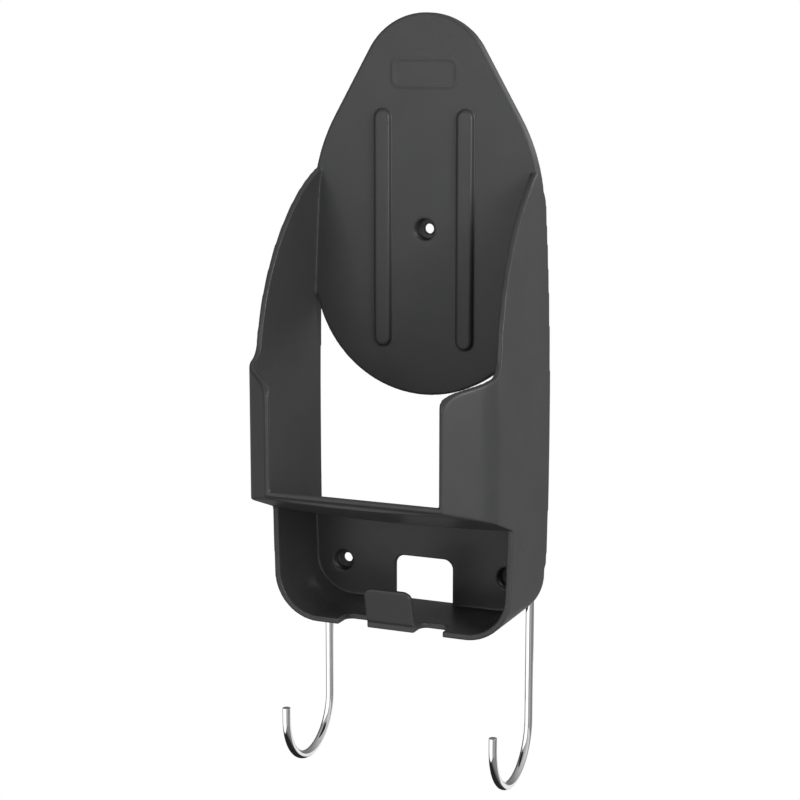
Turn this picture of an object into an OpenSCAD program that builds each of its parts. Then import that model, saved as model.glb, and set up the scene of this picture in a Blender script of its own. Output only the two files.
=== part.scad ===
// Wall holder for a clothes iron, with two hooks below it for an ironing board.
// Millimetres. X is across, Z is up and the wall is the plane Y = 0, so the front faces -Y.
// The origin is the upper wall screw's axis on the wall plane. "Depth" is the distance in
// front of the wall. Front outlines are drawn as [x, z] and side outlines as [depth, z].

/* [Back plate] */
// Radius of the rounded top
nose_r = 41.5; // [38:0.5:44]
// Height of that radius's centre above the upper screw
nose_z = 86.5; // [80:0.5:95]
// Slope of the straight flanks, from vertical
flank_angle = 29.9; // [28:0.1:32]
// Radius of the shoulders, where the flanks turn down
shoulder_r = 110; // [90:1:120]
// Height of the shoulder radius's centre
shoulder_z = 12; // [8:1:16]
// Radius of the half-round lower end
lower_r = 73; // [71:0.5:74]
// Height of the lower end's centre
lower_z = -27.7; // [-32:0.1:-24]
// Depth of the front face
plate_depth = 10.5; // [9.5:0.5:13]
// Thickness of the plate behind its front face
plate_t = 3; // [2.5:0.5:4]
// Thickness of the turned-back rim
rim_t = 2.6; // [2:0.1:4]
// Gap between the wall and the parts that stand clear of it
wall_gap = 2.5; // [1.5:0.1:3]

/* [Ribs on the plate] */
// Distance between the two ribs
rib_spacing = 53.2; // [44:0.2:60]
// Length of a rib over its round ends
rib_len = 142.8; // [120:0.2:150]
// Width of a rib at its foot
rib_w = 10.3; // [8:0.1:14]
// Height of a rib above the plate
rib_h = 3.2; // [2:0.1:4]
// Radius of a rib's top edges
rib_edge_r = 1.8; // [0.8:0.1:2]
// Length of the plain raised outline near the top
frame_len = 42; // [30:1:50]
// Width of that outline
frame_w = 17; // [12:1:20]
// Corner radius of that outline
frame_r = 5; // [2:0.5:6]
// Height of its centre
frame_z = 93; // [86:1:98]

/* [Sides] */
// Wall thickness of the sides, flanges and floor
wall = 3.6; // [3:0.1:4]
// Radius of the gently bowed sides, seen from the front
bow_r = 2400; // [2200:50:3200]
// Height where the bowed sides are widest
bow_z = -125; // [-135:1:-115]
// Height of the wings' flat-cut tops
wing_top_z = 35; // [30:1:38]
// Radius of the wings' curved front edges
wing_r = 129.3; // [127:0.1:132]
// Height of that curve's centre
wing_z = -80; // [-84:1:-78]
// How far the wing tops stand in front of the plate
wing_step = 2; // [1:0.5:4]
// Top of the stretch of side wall that touches the wall
rail_top_z = 19; // [10:1:25]
// Bottom of that stretch
rail_low_z = -201; // [-204:1:-199]

/* [Flanges and shelf] */
// Depth of the flanges' front ends
flange_depth = 115.5; // [112:0.5:118]
// Width of the opening between the flanges
flange_gap = 105; // [100:1:110]
// Depth where the sides turn in to the flanges, at mid-wall
turn_depth = 92.8; // [91:0.1:95]
// Outside radius of that turn
turn_r = 24; // [16:1:28]
// Height of the flanges' top edge, at the turn
flange_top_z = -74.3; // [-78:0.1:-72]
// Fall of the flanges' top edge, from horizontal
flange_fall = 18.8; // [12:0.1:24]
// Height of the shelf's top face at the front lip
lip_z = -143.7; // [-150:0.1:-140]
// Height of the shelf's top face over the tray's front edge
shelf_mid_z = -162.9; // [-165:0.1:-160]
// Height of the shelf's top face at the wall
shelf_back_z = -173.4; // [-176:0.1:-170]
// Thickness of the shelf
shelf_t = 3.2; // [2.5:0.1:4]
// Extra depth of the shelf's underside at its middle
shelf_sag = 2.4; // [0:0.1:3]

/* [Cord tray] */
// Height of the underside of the floor
floor_z = -235.3; // [-240:0.1:-232]
// Radius of the tray's lower corners
corner_r = 28.8; // [24:0.1:32]
// Depth of the tray's front edge
tray_depth = 62.5; // [62:0.5:68]
// Depth of the back panel's front face
panel_depth = 9.8; // [9.2:0.1:11]
// Thickness of the back panel
panel_t = 3; // [2:0.1:3.2]
// Width of the cord opening in the back panel
opening_w = 38; // [30:1:44]
// Height of the cord opening's top edge
opening_top_z = -203; // [-210:1:-198]
// Corner radius of the cord opening
opening_r = 6; // [3:0.5:8]
// Width of the notch in the floor's front edge
notch_w = 67.5; // [60:0.5:72]
// Depth from the wall to the notch's back edge
notch_depth = 48.5; // [44:0.5:52]
// Width of the upturned cord tab
tab_w = 30.8; // [24:0.2:36]
// Height of the tab above the underside of the floor
tab_h = 26; // [20:0.5:30]
// How far the tab's top leans forward of its foot
tab_lean = 6; // [2:0.5:8]
// Depth of the tab's foot
tab_depth = 61.5; // [60:0.5:62.5]

/* [Wall screws] */
// Diameter of the through holes
screw_hole_d = 6; // [4:0.1:6.5]
// Diameter of the recesses for the screw heads
screw_head_d = 13; // [11:0.1:14]
// Material left under the screw head
screw_floor = 3; // [2:0.1:4]
// Distance between the two lower screws
lower_spacing = 110; // [104:1:112]
// Height of the two lower screws
lower_screw_z = -210.2; // [-213:0.1:-208]

/* [Board hooks] */
// Diameter of the hook wire
wire_d = 5; // [4:0.1:5.2]
// Distance between the two hooks' shanks
hook_spacing = 135.4; // [134:0.2:137]
// Depth of the shanks' axes
shank_depth = 3.7; // [3.6:0.1:4]
// Bend radius, to the middle of the wire
bend_r = 31.1; // [24:0.1:32]
// Height of the bend's centre
bend_z = -299.4; // [-310:0.1:-285]
// Straight length after the bend, up to the cut tip
tip_len = 7.9; // [2:0.1:14]
// Radial clearance of the shank in its sockets
turn_clear = 0.05; // [0.02:0.01:0.1]
// Height of the lower socket's top, where the spring clip rests
socket_top_z = -196; // [-199:0.5:-194]
// Gap between the two sockets, for fitting the clip
clip_window = 5; // [4:0.5:6]
// Length of shank held in the upper socket
upper_hold = 8; // [5:0.5:8]

/* [Retaining clips] */
// Outside diameter of the spring clip
clip_d = 7; // [6.6:0.1:7.2]
// Thickness of the spring clip
clip_t = 0.6; // [0.4:0.1:0.8]
// Diameter at the bottom of the shank's groove
groove_d = 3.2; // [2.8:0.1:3.6]
// Width of the clip's open side
clip_gap = 2.6; // [2:0.1:2.8]

/* [Hidden] */

plastic = [0.22, 0.22, 0.23];
chromed = [0.82, 0.83, 0.85];
spring_steel = [0.45, 0.46, 0.48];

eps = 0.01;
far = 400;
bore_fn = 64;
arc_step = 2.5;

// Points on an arc about c from angle a0 to a1, both ends included.
function arc(c, r, a0, a1) =
  let (n = max(2, ceil(abs(a1 - a0) / arc_step)))
  [for (i = [0:n]) c + r * [cos(a0 + (a1 - a0) * i / n), sin(a0 + (a1 - a0) * i / n)]];

// The right half of an outline, walked from top to bottom, closed by its mirror image.
function both_sides(half) =
  concat(half, [for (i = [len(half) - 1:-1:0]) [-half[i].x, half[i].y]]);

// Front outline: nose, straight flank, shoulder, bowed side and lower corner, all tangent.
flank_n = [cos(flank_angle), sin(flank_angle)];
shoulder_x = (nose_r - shoulder_r - (shoulder_z - nose_z) * flank_n.y) / flank_n.x;
shoulder_low_a = asin((shoulder_z - bow_z) / (bow_r - shoulder_r));
bow_x = shoulder_x - (bow_r - shoulder_r) * cos(shoulder_low_a);
half_w = bow_x + bow_r;
corner_z = floor_z + corner_r;
corner_a = asin((corner_z - bow_z) / (bow_r - corner_r));
corner_x = bow_x + (bow_r - corner_r) * cos(corner_a);

function outline(inset) = both_sides(concat(
  arc([0, nose_z], nose_r - inset, 90, flank_angle),
  arc([shoulder_x, shoulder_z], shoulder_r - inset, flank_angle, shoulder_low_a),
  [for (i = [1:7]) let (a = shoulder_low_a + (corner_a - shoulder_low_a) * i / 8)
    [bow_x, bow_z] + (bow_r - inset) * [cos(a), sin(a)]],
  arc([corner_x, corner_z], corner_r - inset, corner_a, -90)
));

// Side outline of the wings: curved edge, hollow fillet, falling flange top, round end.
wing_x = plate_depth + wing_step - sqrt(wing_r ^ 2 - (wing_top_z - wing_z) ^ 2);
fall_slope = tan(flange_fall);
fall_n = [sin(flange_fall), cos(flange_fall)];
fillet_r = 12;
end_r = 13;
// The fillet's centre is fillet_r above the falling line and wing_r + fillet_r from the
// wing curve's centre, so it is where a line crosses a circle.
fall_at_0 = flange_top_z + fall_slope * turn_depth + fillet_r / fall_n.y - wing_z;
fillet_b = -(wing_x + fall_at_0 * fall_slope) / (1 + fall_slope ^ 2);
fillet_c = (wing_x ^ 2 + fall_at_0 ^ 2 - (wing_r + fillet_r) ^ 2) / (1 + fall_slope ^ 2);
fillet_x = -fillet_b + sqrt(fillet_b ^ 2 - fillet_c);
fillet_z = fall_at_0 + wing_z - fall_slope * fillet_x;
fillet_a = atan2(fillet_z - wing_z, fillet_x - wing_x);
end_x = flange_depth - end_r;
end_z = flange_top_z - fall_slope * (end_x - turn_depth) - end_r / fall_n.y;
under_lip_z = lip_z - shelf_t;
under_mid_z = shelf_mid_z - shelf_t;

module side_outline() {
  polygon(concat(
    [[wall_gap, wing_top_z]],
    arc([wing_x, wing_z], wing_r, asin((wing_top_z - wing_z) / wing_r), fillet_a),
    arc([fillet_x, fillet_z], fillet_r, fillet_a + 180, 270 - flange_fall),
    arc([end_x, end_z], end_r, 90 - flange_fall, 0),
    [
      [flange_depth, under_lip_z],
      [tray_depth, under_mid_z],
      [tray_depth, floor_z - 1],
      [wall_gap, floor_z - 1],
      [wall_gap, rail_low_z - wall_gap],
      [0, rail_low_z],
      [0, rail_top_z],
      [wall_gap, rail_top_z + 2 * wall_gap]
    ]
  ));
}

// Plan of the pocket as [x, depth]: straight side, rounded turn and slanting flange.
end_c = [flange_gap / 2 + wall / 2, flange_depth - wall / 2];
turn_k = [half_w - wall / 2, turn_depth];
turn_a = atan2(turn_k.x - end_c.x, end_c.y - turn_k.y);
flange_n = [cos(turn_a), sin(turn_a)];
mid_turn_r = turn_r - wall / 2;
turn_c = [turn_k.x - mid_turn_r, turn_depth - mid_turn_r * tan(turn_a / 2)];

function pocket_plan(inset) = both_sides(concat(
  [[half_w - inset, -1]],
  arc(turn_c, turn_r - inset, 0, turn_a),
  [end_c + (wall / 2 - inset) * flange_n]
));

// The same plan inside the walls, run out through the front opening.
function pocket_cavity() = both_sides(concat(
  [[half_w - wall, -1]],
  arc(turn_c, turn_r - wall, 0, turn_a),
  [
    end_c - wall / 2 * flange_n,
    end_c + wall * flange_n,
    [end_c.x + wall * flange_n.x, far]
  ]
));

hook_x = hook_spacing / 2;
floor_top_z = floor_z + wall;
panel_back = panel_depth - panel_t;
upper_socket_z = socket_top_z + clip_window;
shank_top_z = upper_socket_z + upper_hold;
clip_play = 0.03;

// Moves a front-drawn shape out from depth d0 to depth d1.
module from_front(d0, d1) {
  rotate([90, 0, 0])
    translate([0, 0, d0])
      linear_extrude(d1 - d0)
        children();
}

// Extrudes a side-drawn shape across a width centred on X = 0.
module from_side(w) {
  rotate([90, 0, -90])
    linear_extrude(w, center = true)
      children();
}

// Extrudes a shape drawn as [x, depth] from height z0 to height z1.
module from_above(z0, z1) {
  mirror([0, 1, 0])
    translate([0, 0, z0])
      linear_extrude(z1 - z0)
        children();
}

module both_mirrored() {
  children();
  mirror([1, 0, 0])
    children();
}

// Rectangle centred on the origin with rounded corners.
module rounded(length, width, r) {
  polygon(both_sides(concat(
    arc([length / 2 - r, width / 2 - r], r, 90, 0),
    arc([length / 2 - r, r - width / 2], r, 0, -90)
  )));
}

// Side walls, wings, flanges and tray floor in one open-fronted, open-backed shell.
module shell() {
  difference() {
    intersection() {
      from_front(0, far)
        polygon(outline(0));
      from_side(far)
        side_outline();
      from_above(-far, far)
        polygon(pocket_plan(0));
    }
    intersection() {
      from_front(-1, far)
        polygon(outline(wall));
      from_above(-far, far)
        polygon(pocket_cavity());
    }
  }
}

// Round beads along the flanges' inner ends and the shelf's lip.
module beads() {
  intersection() {
    both_mirrored()
      translate([end_c.x, -end_c.y, lip_z - wall / 2])
        cylinder(d = wall, h = flange_top_z - lip_z, $fn = bore_fn);
    from_side(far)
      side_outline();
  }
  both_mirrored()
    translate([end_c.x, -end_c.y, lip_z - wall / 2])
      sphere(d = wall, $fn = bore_fn);
  translate([0, -end_c.y, lip_z - wall / 2])
    rotate([0, 90, 0])
      cylinder(d = wall, h = 2 * end_c.x, center = true, $fn = bore_fn);
}

// Front outline of the back plate: the shared outline above, a half round below.
module plate_outline(inset) {
  intersection() {
    polygon(outline(inset));
    translate([-half_w, lower_z])
      square([2 * half_w, far]);
  }
  translate([0, lower_z])
    circle(r = lower_r - inset, $fn = 180);
}

module back_plate() {
  from_front(plate_depth - plate_t, plate_depth)
    plate_outline(0);
  from_front(wall_gap, plate_depth)
    difference() {
      plate_outline(0);
      plate_outline(rim_t);
    }
  from_front(wall_gap, plate_depth)
    intersection() {
      plate_outline(rim_t / 2);
      union() {
        square([2, far], center = true);
        square([far, 2], center = true);
      }
    }
}

// Half of a rib's section as [distance from its middle, height], sunk a little at the foot.
module rib_section() {
  sink = 0.5;
  translate([0, -sink])
    square([rib_w / 2 - rib_edge_r, rib_h + sink]);
  translate([0, -sink])
    square([rib_w / 2, rib_h - rib_edge_r + sink]);
  intersection() {
    translate([rib_w / 2 - rib_edge_r, rib_h - rib_edge_r])
      circle(r = rib_edge_r, $fn = bore_fn);
    square(rib_w);
  }
}

// Raised rib with rounded edges and round ends, standing on the plate.
module rib() {
  straight = rib_len - rib_w;
  for (end = [-1, 1])
    translate([0, -plate_depth, end * straight / 2])
      rotate([90, 0, 0])
        rotate_extrude($fn = bore_fn)
          rib_section();
  both_mirrored()
    translate([0, -plate_depth, -straight / 2])
      mirror([0, 1, 0])
        linear_extrude(straight)
          rib_section();
}

// Plain low outline raised on the plate.
module raised_frame() {
  line = 1;
  raise = 0.3;
  from_front(plate_depth - raise, plate_depth + raise)
    translate([0, frame_z])
      difference() {
        rounded(frame_len, frame_w, frame_r);
        rounded(frame_len - 2 * line, frame_w - 2 * line, frame_r - line);
      }
}

// Shelf that carries the iron's heel: steep at the lip, flatter towards the wall.
module shelf() {
  intersection() {
    from_side(far)
      polygon([
        [end_c.y, lip_z],
        [tray_depth, shelf_mid_z],
        [panel_back, shelf_back_z],
        [panel_back, shelf_back_z - shelf_t],
        [tray_depth, under_mid_z],
        [end_c.y, under_lip_z + (flange_depth - end_c.y) * under_slope]
      ]);
    from_front(0, far)
      polygon(outline(wall / 2));
    from_above(-far, far)
      polygon(pocket_plan(wall / 2));
  }
}

under_slope = (under_mid_z - under_lip_z) / (flange_depth - tray_depth);
under_a = atan(under_slope);
sag_half = half_w - wall / 2;
sag_r = (sag_half ^ 2 + shelf_sag ^ 2) / (2 * shelf_sag);

// The slight belly under the front of the shelf, a slice of a very large cylinder.
module shelf_belly() {
  depth = 2 * shelf_sag;
  intersection() {
    from_side(2 * sag_half)
      polygon([
        [end_c.y, under_lip_z + 1],
        [tray_depth - 2, under_mid_z + 1],
        [tray_depth - 2, under_mid_z - depth],
        [end_c.y, under_lip_z - depth]
      ]);
    from_above(-far, far)
      polygon(pocket_plan(wall / 2));
    translate([0, -flange_depth, under_lip_z])
      rotate([under_a, 0, 0])
        translate([0, -far / 4, sag_r - shelf_sag])
          rotate([-90, 0, 0])
            cylinder(r = sag_r, h = far / 2, $fn = 720);
  }
}

// Panel behind the cord tray, with the opening for the cord left out later.
module back_panel() {
  from_front(panel_back, panel_depth)
    intersection() {
      polygon(outline(wall / 2));
      translate([-half_w, floor_z])
        square([2 * half_w, shelf_back_z - floor_z]);
    }
}

module cord_opening() {
  from_front(panel_back - 1, panel_depth + 1)
    polygon(both_sides(concat(
      arc([opening_w / 2 - opening_r, opening_top_z - opening_r], opening_r, 90, 0),
      [[opening_w / 2, floor_top_z]]
    )));
}

// The two notches beside the tab's tongue, and the step in front of the tongue.
module floor_notches() {
  r = 5;
  front = tray_depth + 1;
  both_mirrored()
    from_above(floor_z - 1, floor_top_z + 1)
      polygon(concat(
        [[tab_w / 2, front], [notch_w / 2, front]],
        arc([notch_w / 2 - r, notch_depth + r], r, 0, -90),
        arc([tab_w / 2 + r, notch_depth + r], r, 270, 180)
      ));
  from_above(floor_z - 1, floor_top_z + 1)
    translate([-tab_w / 2 - eps, tab_depth])
      square([tab_w + 2 * eps, front - tab_depth]);
}

// Upturned tab that keeps the coiled cord in the tray.
module cord_tab() {
  t = 3.2;
  root_r = 3;
  top_r = 5.5;
  top_z = floor_z + tab_h;
  intersection() {
    from_side(tab_w)
      polygon(concat(
        [
          [tab_depth, floor_z],
          [tab_depth + tab_lean, top_z],
          [tab_depth + tab_lean - t, top_z]
        ],
        arc([tab_depth - t - root_r, floor_top_z + root_r], root_r, 0, -90),
        [[tab_depth - t - root_r, floor_z]]
      ));
    from_front(0, far)
      polygon(both_sides(concat(
        arc([tab_w / 2 - top_r, top_z - top_r], top_r, 90, 0),
        [[tab_w / 2, floor_z]]
      )));
  }
}

// Boss behind a wall-screw hole, from the wall to the face it opens in.
module screw_boss(x, z, front) {
  from_front(0, front)
    translate([x, z])
      circle(d = screw_head_d + 4, $fn = bore_fn);
}

// Through hole and head recess of one wall screw.
module screw_hole(x, z, front) {
  translate([x, 1, z])
    rotate([90, 0, 0])
      cylinder(d = screw_hole_d, h = front + 2, $fn = bore_fn);
  translate([x, -screw_floor, z])
    rotate([90, 0, 0])
      cylinder(d = screw_head_d, h = front + 2 - screw_floor, $fn = bore_fn);
}

// Blocks behind the panel that hold a hook's shank below and above its spring clip.
module hook_socket() {
  side_x = 5;
  from_front(0, panel_back + eps)
    intersection() {
      polygon(outline(wall / 2));
      union() {
        translate([hook_x - side_x, floor_z])
          square([half_w, socket_top_z - floor_z]);
        translate([hook_x - side_x, upper_socket_z])
          square([half_w, shelf_back_z - upper_socket_z - shelf_t / 2]);
      }
    }
}

module hook_bore() {
  translate([hook_x, -shank_depth, floor_z - 1])
    cylinder(d = wire_d + 2 * turn_clear, h = shank_top_z + 0.2 - floor_z + 1, $fn = bore_fn);
  translate([hook_x, -shank_depth, socket_top_z])
    cylinder(d = clip_d + 0.6, h = clip_window, $fn = bore_fn);
}

module holder_body() {
  color(plastic)
    difference() {
      union() {
        shell();
        beads();
        back_plate();
        both_mirrored()
          translate([rib_spacing / 2, 0, 0])
            rib();
        raised_frame();
        shelf();
        shelf_belly();
        back_panel();
        cord_tab();
        screw_boss(0, 0, plate_depth);
        both_mirrored() {
          screw_boss(lower_spacing / 2, lower_screw_z, panel_depth);
          hook_socket();
        }
      }
      cord_opening();
      floor_notches();
      screw_hole(0, 0, plate_depth);
      both_mirrored() {
        screw_hole(lower_spacing / 2, lower_screw_z, panel_depth);
        hook_bore();
      }
    }
}

// Wire hook: grooved shank, half-round bend to the front and a short cut-off tip.
module hook() {
  r = wire_d / 2;
  edge = 0.4;
  difference() {
    translate([0, 0, bend_z])
      cylinder(r = r, h = shank_top_z - bend_z, $fn = bore_fn);
    translate([0, 0, socket_top_z + eps])
      difference() {
        cylinder(r = 2 * r, h = clip_t + 2 * clip_play, $fn = bore_fn);
        translate([0, 0, -1])
          cylinder(d = groove_d, h = clip_t + 2, $fn = bore_fn);
      }
  }
  translate([0, -bend_r, bend_z])
    rotate([0, 90, 0])
      rotate([0, 0, -90])
        rotate_extrude(angle = 180, $fn = 96)
          translate([bend_r, 0])
            circle(r = r, $fn = bore_fn);
  translate([0, -2 * bend_r, bend_z]) {
    cylinder(r = r, h = tip_len - edge, $fn = bore_fn);
    translate([0, 0, tip_len - edge])
      cylinder(r1 = r, r2 = r - edge, h = edge, $fn = bore_fn);
  }
}

// Spring clip with its mouth to the front, pushed into the shank's groove from behind.
module clip() {
  notch_r = 0.75;
  translate([0, 0, socket_top_z + clip_play])
    linear_extrude(clip_t)
      difference() {
        circle(d = clip_d, $fn = bore_fn);
        circle(d = groove_d + clip_play, $fn = bore_fn);
        translate([-clip_gap / 2, -clip_d])
          square([clip_gap, clip_d]);
        for (side = [-1, 1])
          translate([side * (groove_d / 2 + notch_r), notch_r])
            circle(r = notch_r, $fn = bore_fn);
      }
}

module left_hook() {
  color(chromed)
    translate([-hook_x, -shank_depth, 0])
      hook();
}

module right_hook() {
  color(chromed)
    translate([hook_x, -shank_depth, 0])
      hook();
}

module left_clip() {
  color(spring_steel)
    translate([-hook_x, -shank_depth, 0])
      clip();
}

module right_clip() {
  color(spring_steel)
    translate([hook_x, -shank_depth, 0])
      clip();
}

holder_body();
left_hook();
right_hook();
left_clip();
right_clip();
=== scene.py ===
"""Looks of the wall holder for an iron and an ironing board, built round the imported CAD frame."""

import math

import bpy
import numpy as np
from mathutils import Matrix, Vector


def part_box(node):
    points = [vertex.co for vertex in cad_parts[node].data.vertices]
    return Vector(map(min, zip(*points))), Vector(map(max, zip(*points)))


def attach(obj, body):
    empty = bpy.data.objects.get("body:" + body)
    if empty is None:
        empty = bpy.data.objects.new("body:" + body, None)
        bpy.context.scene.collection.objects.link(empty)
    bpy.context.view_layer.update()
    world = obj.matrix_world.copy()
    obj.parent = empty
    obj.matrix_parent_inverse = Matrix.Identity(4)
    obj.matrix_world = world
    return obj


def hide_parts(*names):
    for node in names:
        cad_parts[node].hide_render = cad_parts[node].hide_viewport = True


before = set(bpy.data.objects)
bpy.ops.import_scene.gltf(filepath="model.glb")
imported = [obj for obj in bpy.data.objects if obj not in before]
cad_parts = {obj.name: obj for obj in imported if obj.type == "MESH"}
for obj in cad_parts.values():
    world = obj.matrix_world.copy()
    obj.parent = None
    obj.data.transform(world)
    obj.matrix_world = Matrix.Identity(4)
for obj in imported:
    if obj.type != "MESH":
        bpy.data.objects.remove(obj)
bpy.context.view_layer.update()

MM = 0.001
SIDES = ("left", "right")
ACROSS = Vector((1, 0, 0))
BACK = Vector((0, 1, 0))
UP = Vector((0, 0, 1))

# Camera: it looks at CAMERA_AIM from a point at this azimuth and elevation.
CAMERA_AZIMUTH = 23.37
CAMERA_ELEVATION = 10.28
CAMERA_DISTANCE = 1.1989
CAMERA_AIM = Vector((-0.0157, -0.0105, -0.1049))
CAMERA_LENS = 88.1
CAMERA_SENSOR = 36.0

# The moulding is remeshed with this voxel, smoothed so that its edges are rounded, and thinned
# out on its flat faces to this share of its triangles.
WELD_REACH = 0.002 * MM
VOXEL = 0.62 * MM
SMOOTH_STEPS = 3
SMOOTH_FACTOR = 0.5
KEPT_FACES = 0.3
# Steps of further smoothing against which the bend of the surface is measured.
CURVE_STEPS = 3

# Boxes round the two ribs and the outline near the top of the back plate, in millimetres. The ribs
# get this share of the smoothing, so that they stay crisp. The outline gets more steps of it.
RIB_ZONES = (((-36, -15, -80), (-17, -9.5, 80)), ((17, -15, -80), (36, -9.5, 80)))
RIB_SOFTNESS = 0.3
OUTLINE_ZONE = ((-25, -12, 81), (25, -9.5, 105))
OUTLINE_STEPS = 5

# Air between the moulding and the spring clips, how far above and below a clip that matters, and
# the width of the ring under a clip's rim that is moved outwards as well as down.
CLIP_AIR = 0.15 * MM
CLIP_SURROUND = 1.0 * MM
CLIP_RIM = 0.5 * MM

# Hook wires: sides of the wire and steps round its bend, straight length of the tip, rounded edge
# of the two cut ends, then the groove for the clip with its chamfer and its play.
WIRE_SIDES = 48
WIRE_SHARP_ANGLE = math.radians(40)
BEND_STEPS = 96
TIP_LENGTH = 7.9 * MM
END_EDGE = 0.4 * MM
END_STEPS = 5
GROOVE_RADIUS = 1.6 * MM
GROOVE_CHAMFER = 0.12 * MM
GROOVE_PLAY = 0.02 * MM

# Plastic: greys of its two cloudy tones, its specks, its paler edges (partly wear, partly a painted
# highlight) and its painted corner shade.
PLASTIC_CLOUD = (0.052, 0.060)
PLASTIC_SPECK = 0.070
# Paler grey of convex edges: partly worn plastic, partly a painted highlight.
PLASTIC_RUBBED_HIGHLIGHT = 0.12
# Dark grey painted into inner corners and creases as shade.
PLASTIC_CORNER_SHADE = 0.020
PLASTIC_TINT = 0.01
PLASTIC_IOR = 1.47
# Its roughness, how much smoother rubbed edges are and how much rougher corners are.
PLASTIC_ROUGHNESS = (0.34, 0.44)
RUBBED_SMOOTHER = 0.14
CORNER_ROUGHER = 0.08
# Bend of the surface, in voxels, over which an edge turns paler (wear and painted highlight) and an
# inner corner takes painted shade.
RUBBED_HIGHLIGHT_BEND = (0.10, 0.45)
CORNER_BEND = (-0.05, -0.30)

# Chrome: greys of its two cloudy tones and of its pits, and its roughness.
CHROME_CLOUD = (0.80, 0.86)
CHROME_PIT = 0.42
CHROME_ROUGHNESS = (0.05, 0.11)
# Scale along a shank of the lines left by drawing the wire, against 1 across it.
DRAWN_STRETCH = 0.03

# Spring steel: its two greys and its roughness.
STEEL_CLOUD = (0.16, 0.30)
STEEL_TINT = 0.02
STEEL_ROUGHNESS = (0.32, 0.52)

# Noise scales, in cycles per metre.
PLASTIC_SCALES = {"cloud": 35, "speck": 900, "grain": 2600}
CHROME_SCALES = {"cloud": 60, "drawn": 2500, "pits": 1500}
STEEL_SCALE = 1200
# Values of a noise between which it goes from its first tone to its second.
NOISE_SPAN = (0.3, 0.7)

FLOOR_Z = -0.75
FLOOR_SIZE = 30.0
WHITE = (1, 1, 1, 1)

# Studio surroundings: brightness towards each side of the object, and of the floor below it.
SURROUNDINGS = {"+X": 0.75, "-X": 0.02, "+Y": 0.16, "-Y": 0.35, "+Z": 0.46}
FLOOR_GLOW = 0.25
# The patch of floor that mirrors see dark: its middle, and the radii over which it fades out.
DARK_PATCH = Vector((-0.28, 0.04, FLOOR_Z))
DARK_RADII = (0.50, 0.80)
DARK_LEVEL = 0.02
# Soft lights: name, azimuth, elevation, distance, width, height, power in watts.
SOFTBOXES = (
    ("key_low", 62, 5, 1.6, 0.5, 0.5, 2.8),
    ("key_middle", 62, 20, 1.6, 0.5, 0.5, 6.3),
    ("key_high", 62, 35, 1.6, 0.5, 0.5, 1.7),
    ("front_right", 36, 5, 1.6, 0.5, 0.5, 0.8),
    ("front_left", -17, 10, 1.6, 0.6, 0.6, 2.6),
    ("low_left", -25, -30, 1.0, 0.5, 0.4, 0.7),
    ("low_front", 25, -25, 1.1, 0.5, 0.4, 0.7),
    ("back_right", 150, 25, 1.6, 0.5, 0.6, 2.0),
)
# Middle of the two hooks' bends.
HOOK_MIDDLE = Vector((0, -0.035, -0.30))
# Cards for the chrome: name, azimuth, elevation, distance, width, height, brightness.
HOOK_CARDS = (
    ("card_left", -34, 2, 0.5, 1.15, 0.9, 1.1),
    ("card_right", 52, -8, 0.9, 0.5, 0.7, 0.22),
    ("card_back", 165, -28, 0.5, 0.5, 0.28, 0.7),
)


# ---------------------------------------------------------------- node helpers

def new_material(name):
    """A node material with no nodes yet."""
    mat = bpy.data.materials.new(name)
    mat.use_nodes = True
    mat.node_tree.nodes.clear()
    return mat


def set_input(tree, socket, value):
    """Links an input to another node's output, or gives it a fixed value."""
    if isinstance(value, bpy.types.NodeSocket):
        tree.links.new(value, socket)
    else:
        socket.default_value = value


def add(tree, kind, inputs=None, **settings):
    """Adds one node, sets its attributes, then sets or links its inputs by name or number."""
    node = tree.nodes.new(kind)
    for key, value in settings.items():
        setattr(node, key, value)
    for key, value in (inputs or {}).items():
        set_input(tree, node.inputs[key], value)
    return node


def maths(tree, operation, a, b=0.0):
    """The output of one Math node."""
    return add(tree, "ShaderNodeMath", {0: a, 1: b}, operation=operation).outputs[0]


def remap(tree, value, low, high, to_low=0.0, to_high=1.0):
    """Maps low..high on to to_low..to_high, clamped."""
    node = add(tree, "ShaderNodeMapRange", {
        "Value": value, "From Min": low, "From Max": high,
        "To Min": to_low, "To Max": to_high,
    })
    return node.outputs["Result"]


def noise(tree, coords, scale, detail=2.0, roughness=0.5):
    """Noise over the given coordinates, in cycles per metre."""
    node = add(tree, "ShaderNodeTexNoise", {
        "Vector": coords, "Scale": scale, "Detail": detail, "Roughness": roughness,
    })
    return node.outputs["Fac"]


def mix_colour(tree, share, a, b):
    """Colour a where share is 0, colour b where it is 1."""
    node = add(tree, "ShaderNodeMix", data_type="RGBA")
    share_input, a_input, b_input, colour_output = 0, 6, 7, 2
    set_input(tree, node.inputs[share_input], share)
    set_input(tree, node.inputs[a_input], a)
    set_input(tree, node.inputs[b_input], b)
    return node.outputs[colour_output]


def grey(value, tint=0.0):
    """A grey colour; a tint above 0 is cooler."""
    return (value * (1 - tint), value, value * (1 + 1.5 * tint), 1.0)


def object_coords(tree):
    return add(tree, "ShaderNodeTexCoord").outputs["Object"]


def stretched(tree, coords, scale):
    """Coordinates scaled on each axis."""
    return add(tree, "ShaderNodeMapping", {"Vector": coords, "Scale": scale}).outputs["Vector"]


def bump(tree, height, strength, distance):
    """A surface normal disturbed by a height pattern."""
    node = add(tree, "ShaderNodeBump", {
        "Height": height, "Strength": strength, "Distance": distance,
    })
    return node.outputs["Normal"]


def emission(tree, strength):
    return add(tree, "ShaderNodeEmission", {"Color": WHITE, "Strength": strength}).outputs[0]


def mix_shader(tree, share, a, b):
    """Shader a where share is 0, shader b where it is 1."""
    return add(tree, "ShaderNodeMixShader", {0: share, 1: a, 2: b}).outputs[0]


def output(tree, shader):
    add(tree, "ShaderNodeOutputMaterial", {"Surface": shader})


# ---------------------------------------------------------------- materials

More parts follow.
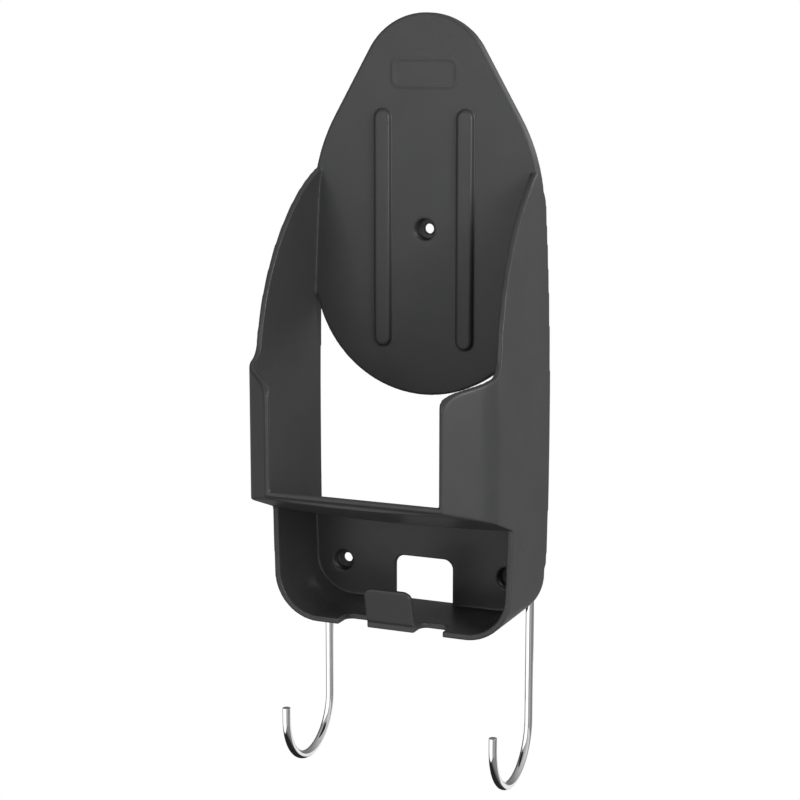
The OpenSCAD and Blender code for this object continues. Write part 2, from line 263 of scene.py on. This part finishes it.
def moulded_plastic():
    """Dark grey moulded plastic: fine satin grain, faint mottling, paler convex edges that are partly
    worn and partly a painted highlight, and painted shade in inner corners.
    """
    mat = new_material("dark_moulded_plastic")
    tree = mat.node_tree
    at = object_coords(tree)
    curve = add(tree, "ShaderNodeAttribute", attribute_name="edge").outputs["Fac"]
    cloud = noise(tree, at, PLASTIC_SCALES["cloud"], 3)
    speck = noise(tree, at, PLASTIC_SCALES["speck"], 2)
    grain = noise(tree, at, PLASTIC_SCALES["grain"], 3, 0.6)
    dark, pale = (grey(tone, PLASTIC_TINT) for tone in PLASTIC_CLOUD)
    # Convex edges are made paler: partly rubbed wear, partly a painted highlight.
    rubbed_highlight_patches = remap(tree, cloud, 0.25, 0.7, 0.4, 1)
    rubbed_and_highlight = maths(tree, "MULTIPLY", remap(tree, curve, *RUBBED_HIGHLIGHT_BEND), rubbed_highlight_patches)
    corner = remap(tree, curve, *CORNER_BEND)
    speck_share = remap(tree, speck, 0.35, 0.8, 0.0, 0.25)
    rubbed_highlight_share = maths(tree, "MULTIPLY", rubbed_and_highlight, 0.6)
    # Inner corners and creases are darkened with painted shade.
    corner_shade_share = maths(tree, "MULTIPLY", corner, 0.75)

    base = mix_colour(tree, remap(tree, cloud, *NOISE_SPAN), dark, pale)
    base = mix_colour(tree, speck_share, base, grey(PLASTIC_SPECK, PLASTIC_TINT))
    base = mix_colour(tree, rubbed_highlight_share, base, grey(PLASTIC_RUBBED_HIGHLIGHT, PLASTIC_TINT))
    base = mix_colour(tree, corner_shade_share, base, grey(PLASTIC_CORNER_SHADE))

    rough = remap(tree, speck, 0.3, 0.75, *PLASTIC_ROUGHNESS)
    rough = maths(tree, "SUBTRACT", rough, maths(tree, "MULTIPLY", rubbed_and_highlight, RUBBED_SMOOTHER))
    rough = maths(tree, "ADD", rough, maths(tree, "MULTIPLY", corner, CORNER_ROUGHER))
    shader = add(tree, "ShaderNodeBsdfPrincipled", {
        "Base Color": base, "Roughness": rough, "IOR": PLASTIC_IOR,
        "Normal": bump(tree, grain, strength=0.16, distance=0.05 * MM),
    })
    output(tree, shader.outputs[0])
    return mat


def chrome():
    """Bright chrome on drawn wire: faint lengthwise draw lines and slightly cloudy plating."""
    mat = new_material("hook_chrome_plate")
    tree = mat.node_tree
    at = object_coords(tree)
    cloud = noise(tree, at, CHROME_SCALES["cloud"], 3)
    along_wire = stretched(tree, at, (1.0, 1.0, DRAWN_STRETCH))
    drawn = noise(tree, along_wire, CHROME_SCALES["drawn"], 2)
    pits = noise(tree, at, CHROME_SCALES["pits"], 2)
    dark, pale = CHROME_CLOUD
    base = mix_colour(tree, remap(tree, cloud, *NOISE_SPAN), grey(dark, 0.006), grey(pale, 0.004))
    base = mix_colour(tree, remap(tree, pits, 0.68, 0.78, 0, 0.5), base, grey(CHROME_PIT))
    shader = add(tree, "ShaderNodeBsdfPrincipled", {
        "Base Color": base, "Metallic": 1.0,
        "Roughness": remap(tree, cloud, 0.3, 0.75, *CHROME_ROUGHNESS),
        "Normal": bump(tree, drawn, strength=0.06, distance=0.02 * MM),
    })
    output(tree, shader.outputs[0])
    return mat


def spring_steel():
    """Phosphated spring steel: dark, slightly mottled and satin."""
    mat = new_material("clip_phosphated_steel")
    tree = mat.node_tree
    mottle = noise(tree, object_coords(tree), STEEL_SCALE, 4, 0.6)
    dark, pale = (grey(tone, STEEL_TINT) for tone in STEEL_CLOUD)
    shader = add(tree, "ShaderNodeBsdfPrincipled", {
        "Base Color": mix_colour(tree, remap(tree, mottle, *NOISE_SPAN), dark, pale),
        "Metallic": 1.0,
        "Roughness": remap(tree, mottle, *NOISE_SPAN, *STEEL_ROUGHNESS),
        "Normal": bump(tree, mottle, strength=0.2, distance=0.02 * MM),
    })
    output(tree, shader.outputs[0])
    return mat


def only_material(obj, mat):
    """Gives an object with its own mesh this one material."""
    obj.data.materials.clear()
    obj.data.materials.append(mat)


# ---------------------------------------------------------------- moulding

def in_scene(name, data):
    """An object with this mesh, light or camera, linked to the scene."""
    obj = bpy.data.objects.new(name, data)
    bpy.context.scene.collection.objects.link(obj)
    return obj


def evaluated_mesh(obj):
    """A copy of the object's mesh with its modifiers applied."""
    graph = bpy.context.evaluated_depsgraph_get()
    return bpy.data.meshes.new_from_object(obj.evaluated_get(graph), depsgraph=graph)


def vectors_of(mesh, kind):
    """One row for each point of the mesh, with its place ("co") or its normal ("normal")."""
    flat = np.empty(len(mesh.vertices) * 3, np.float32)
    mesh.vertices.foreach_get(kind, flat)
    return flat.reshape(-1, 3).astype(float)


def inside(points, low, high):
    """1 for the points inside a box given in millimetres, 0 for the others."""
    within = (points > np.array(low) * MM) & (points < np.array(high) * MM)
    return within.all(axis=1).astype(float)


def smoothed(mesh, points, steps, factor):
    """Moves each point part of the way to the mean of its neighbours, several times.

    The factor is one number, or a column with one for each point."""
    ends = np.empty(len(mesh.edges) * 2, np.int32)
    mesh.edges.foreach_get("vertices", ends)
    a, b = ends.reshape(-1, 2).T
    count = np.bincount(a, minlength=len(points)) + np.bincount(b, minlength=len(points))
    for _ in range(steps):
        total = np.zeros_like(points)
        for axis in range(3):
            total[:, axis] = (np.bincount(a, points[b, axis], len(points))
                              + np.bincount(b, points[a, axis], len(points)))
        points = points + factor * (total / count[:, None] - points)
    return points


def cleared(points, clip_node):
    """Keeps the moulding's points a little below and outside the spring clip that turns in it."""
    low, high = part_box(clip_node)
    radius = (high.x - low.x) / 2
    centre = np.array([(low.x + high.x) / 2, high.y - radius])
    offset = points[:, :2] - centre
    reach = np.linalg.norm(offset, axis=1)
    z = points[:, 2]
    level = (z > low.z - CLIP_SURROUND) & (z < high.z + CLIP_SURROUND)
    beside = level & (reach > radius - CLIP_RIM) & (reach < radius + CLIP_AIR)
    under = level & (reach < radius + CLIP_AIR) & (z < low.z + VOXEL)
    points = points.copy()
    points[beside, :2] = centre + (radius + CLIP_AIR) * offset[beside] / reach[beside, None]
    points[under, 2] = np.minimum(z[under], low.z - CLIP_AIR)
    return points


def remeshed(node):
    """An even voxel mesh of a CAD solid."""
    source = in_scene("remesh_source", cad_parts[node].data.copy())
    weld = source.modifiers.new("weld", "WELD")
    weld.merge_threshold = WELD_REACH
    voxels = source.modifiers.new("voxels", "REMESH")
    voxels.mode = "VOXEL"
    voxels.voxel_size = VOXEL
    mesh = evaluated_mesh(source)
    bpy.data.objects.remove(source)
    return mesh


def softened(mesh):
    """The mesh's points with edges and inner corners rounded, and kept off the spring clips."""
    points = vectors_of(mesh, "co")
    on_ribs = sum(inside(points, low, high) for low, high in RIB_ZONES)
    on_outline = inside(points, *OUTLINE_ZONE)
    factor = SMOOTH_FACTOR * (1 - (1 - RIB_SOFTNESS) * on_ribs)
    points = smoothed(mesh, points, SMOOTH_STEPS, factor[:, None])
    points = smoothed(mesh, points, OUTLINE_STEPS, (SMOOTH_FACTOR * on_outline)[:, None])
    for side in SIDES:
        points = cleared(points, side + "_clip")
    return points


def thinned(mesh):
    """The mesh with fewer triangles, mostly where it is flat."""
    full = in_scene("full_moulding", mesh)
    thin = full.modifiers.new("thin", "DECIMATE")
    thin.ratio = KEPT_FACES
    light = evaluated_mesh(full)
    bpy.data.objects.remove(full)
    return light


def moulding(node):
    """The body as moulded: the CAD solid with every edge and inner corner softly rounded.

    Its "edge" attribute is the bend of the surface: above 0 on edges, below 0 in corners."""
    mesh = remeshed(node)
    points = softened(mesh)
    wide = smoothed(mesh, points, CURVE_STEPS, SMOOTH_FACTOR)
    mesh.vertices.foreach_set("co", points.astype(np.float32).ravel())
    mesh.update()
    bend = ((points - wide) * vectors_of(mesh, "normal")).sum(1) / VOXEL
    edge = mesh.attributes.new("edge", "FLOAT", "POINT")
    edge.data.foreach_set("value", bend.astype(np.float32))
    light = thinned(mesh)
    light.shade_smooth()
    light.name = "holder_moulding"
    return in_scene("holder_moulding", light)


# ---------------------------------------------------------------- hooks

def tube(name, rings, sides):
    """A closed tube through rings, each given as (centre, side axis, other axis, radius)."""
    turns = [2 * math.pi * i / sides for i in range(sides)]
    verts = [c + r * (math.cos(t) * u + math.sin(t) * v) for c, u, v, r in rings for t in turns]
    faces = []
    for k in range(len(rings) - 1):
        for i in range(sides):
            j = (i + 1) % sides
            low, high = k * sides, (k + 1) * sides
            faces.append((low + i, low + j, high + j, high + i))
    faces.append(tuple(reversed(range(sides))))
    faces.append(tuple(range((len(rings) - 1) * sides, len(rings) * sides)))
    mesh = bpy.data.meshes.new(name)
    mesh.from_pydata(verts, [], faces)
    mesh.shade_smooth()
    mesh.set_sharp_from_angle(angle=WIRE_SHARP_ANGLE)
    return in_scene(name, mesh)


def end_edge():
    """The rounded edge of a cut end, from its face inwards: (distance from the face, radius lost)."""
    turns = [math.pi / 2 * i / END_STEPS for i in range(END_STEPS + 1)]
    return [(END_EDGE * (1 - math.cos(a)), END_EDGE * (1 - math.sin(a))) for a in turns]


def shank_steps(top_z, bend_z, radius, clip_node):
    """Heights and radii down a shank: its rounded top, the groove for the clip, then the bend."""
    clip_low, clip_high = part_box(clip_node)
    groove_top = clip_high.z + GROOVE_PLAY
    groove_low = clip_low.z - GROOVE_PLAY
    steps = [(top_z - inwards, radius - lost) for inwards, lost in end_edge()]
    steps += [
        (groove_top + GROOVE_CHAMFER, radius),
        (groove_top, radius - GROOVE_CHAMFER),
        (groove_top, GROOVE_RADIUS),
        (groove_low, GROOVE_RADIUS),
        (groove_low, radius - GROOVE_CHAMFER),
        (groove_low - GROOVE_CHAMFER, radius),
        (bend_z, radius),
    ]
    return steps


def hook_rings(hook_node, clip_node):
    """Rings down a hook's grooved shank, round its bend to the front and up its cut tip."""
    low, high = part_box(hook_node)
    radius = (high.x - low.x) / 2
    bend = (high.y - low.y) / 2 - radius
    bend_start = Vector(((low.x + high.x) / 2, high.y - radius, low.z + radius + bend))
    centre = bend_start - bend * BACK
    tip = centre - bend * BACK + TIP_LENGTH * UP
    rings = []
    for z, r in shank_steps(high.z, bend_start.z, radius, clip_node):
        rings.append((Vector((bend_start.x, bend_start.y, z)), BACK, ACROSS, r))
    for i in range(1, BEND_STEPS + 1):
        a = math.pi * i / BEND_STEPS
        out = math.cos(a) * BACK - math.sin(a) * UP
        rings.append((centre + bend * out, out, ACROSS, radius))
    for inwards, lost in reversed(end_edge()):
        rings.append((tip - inwards * UP, -BACK, ACROSS, radius - lost))
    return rings


def wire_hook(side):
    hook = tube(side + "_hook_wire", hook_rings(side + "_hook", side + "_clip"), WIRE_SIDES)
    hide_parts(side + "_hook")
    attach(hook, side + "_hook_body")
    return hook


# ---------------------------------------------------------------- stage

def aim(obj, target):
    obj.rotation_mode = "QUATERNION"
    obj.rotation_quaternion = (target - obj.location).to_track_quat("-Z", "Y")


def seen_from(azimuth, elevation, distance, target):
    """A point this far from target, at this azimuth (0 is the front, 90 is +X) and elevation."""
    a, e = math.radians(azimuth), math.radians(elevation)
    direction = Vector((math.sin(a) * math.cos(e), -math.cos(a) * math.cos(e), math.sin(e)))
    return target + distance * direction


def make_camera():
    data = bpy.data.cameras.new("photo_camera")
    data.lens = CAMERA_LENS
    data.sensor_width = CAMERA_SENSOR
    camera = in_scene("photo_camera", data)
    camera.location = seen_from(CAMERA_AZIMUTH, CAMERA_ELEVATION, CAMERA_DISTANCE, CAMERA_AIM)
    aim(camera, CAMERA_AIM)
    bpy.context.scene.camera = camera


def softbox(name, place, target, width, height, power):
    """A soft rectangular light at a place, aimed at a target and not seen by the camera."""
    data = bpy.data.lights.new(name, "AREA")
    data.shape = "RECTANGLE"
    data.size = width
    data.size_y = height
    data.energy = power
    light = in_scene(name, data)
    light.location = place
    aim(light, target)
    light.visible_camera = False
    return light


def only_on(name, pieces):
    """A collection that limits a light to these pieces."""
    group = bpy.data.collections.new(name)
    for piece in pieces:
        group.objects.link(piece)
    return group


def make_lights(pieces):
    """The soft lights, which leave the chromed hooks to their own cards."""
    group = only_on("lit_by_softboxes", pieces)
    for name, azimuth, elevation, distance, width, height, power in SOFTBOXES:
        place = seen_from(azimuth, elevation, distance, CAMERA_AIM)
        light = softbox(name, place, CAMERA_AIM, width, height, power)
        light.light_linking.receiver_collection = group


def make_hook_cards(hooks):
    """White cards that only the chromed hooks reflect."""
    group = only_on("lit_by_cards", hooks)
    for name, azimuth, elevation, distance, width, height, brightness in HOOK_CARDS:
        place = seen_from(azimuth, elevation, distance, HOOK_MIDDLE)
        power = brightness * math.pi * width * height
        card = softbox(name, place, HOOK_MIDDLE, width, height, power)
        card.light_linking.receiver_collection = group


def facing(tree, axis):
    """How far a world direction points towards one side such as "+X": the squared cosine."""
    direction = add(tree, "ShaderNodeTexCoord").outputs["Generated"]
    parts = add(tree, "ShaderNodeSeparateXYZ", {0: direction})
    sign, letter = axis
    along = maths(tree, "MULTIPLY", parts.outputs[letter], 1.0 if sign == "+" else -1.0)
    return maths(tree, "POWER", maths(tree, "MAXIMUM", along, 0.0), 2.0)


def make_world():
    """White to the camera, and soft surroundings of uneven brightness for everything else."""
    world = bpy.data.worlds.new("studio")
    world.use_nodes = True
    tree = world.node_tree
    tree.nodes.clear()
    total = 0.0
    for axis, level in SURROUNDINGS.items():
        total = maths(tree, "ADD", maths(tree, "MULTIPLY", facing(tree, axis), level), total)
    by_camera = add(tree, "ShaderNodeLightPath").outputs["Is Camera Ray"]
    fill = add(tree, "ShaderNodeBackground", {"Color": WHITE, "Strength": total})
    seen = add(tree, "ShaderNodeBackground", {"Color": WHITE, "Strength": 1.0})
    both = mix_shader(tree, by_camera, fill.outputs[0], seen.outputs[0])
    add(tree, "ShaderNodeOutputWorld", {"Surface": both})
    bpy.context.scene.world = world


def pale_floor():
    """A plain glow: white to the camera, dim to the object, with a dark patch for mirrors."""
    mat = new_material("pale_floor")
    tree = mat.node_tree
    path = add(tree, "ShaderNodeLightPath")
    place = add(tree, "ShaderNodeNewGeometry").outputs["Position"]
    reach = add(tree, "ShaderNodeVectorMath", {0: place, 1: DARK_PATCH}, operation="DISTANCE")
    patch = remap(tree, reach.outputs["Value"], *DARK_RADII, DARK_LEVEL, FLOOR_GLOW)
    mirrored = emission(tree, patch)
    unseen = mix_shader(tree, path.outputs["Is Glossy Ray"], emission(tree, FLOOR_GLOW), mirrored)
    output(tree, mix_shader(tree, path.outputs["Is Camera Ray"], unseen, emission(tree, 1.0)))
    return mat


def make_floor():
    """A plain pale floor that meets the white background without a line."""
    half = FLOOR_SIZE / 2
    corners = [(x * half, y * half, FLOOR_Z) for x, y in ((-1, -1), (1, -1), (1, 1), (-1, 1))]
    mesh = bpy.data.meshes.new("floor")
    mesh.from_pydata(corners, [], [(0, 1, 2, 3)])
    floor = in_scene("floor", mesh)
    only_material(floor, pale_floor())


def main():
    plastic, plated, steel = moulded_plastic(), chrome(), spring_steel()
    body = moulding("holder_body")
    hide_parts("holder_body")
    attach(body, "holder")
    only_material(body, plastic)
    hooks = [wire_hook(side) for side in SIDES]
    for hook in hooks:
        only_material(hook, plated)
    clips = [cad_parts[side + "_clip"] for side in SIDES]
    for clip in clips:
        for entry in clip.material_slots:
            entry.material = steel
    make_floor()
    make_world()
    make_lights([body] + clips)
    make_hook_cards(hooks)
    make_camera()
    bpy.context.scene.view_settings.view_transform = "Standard"


main()
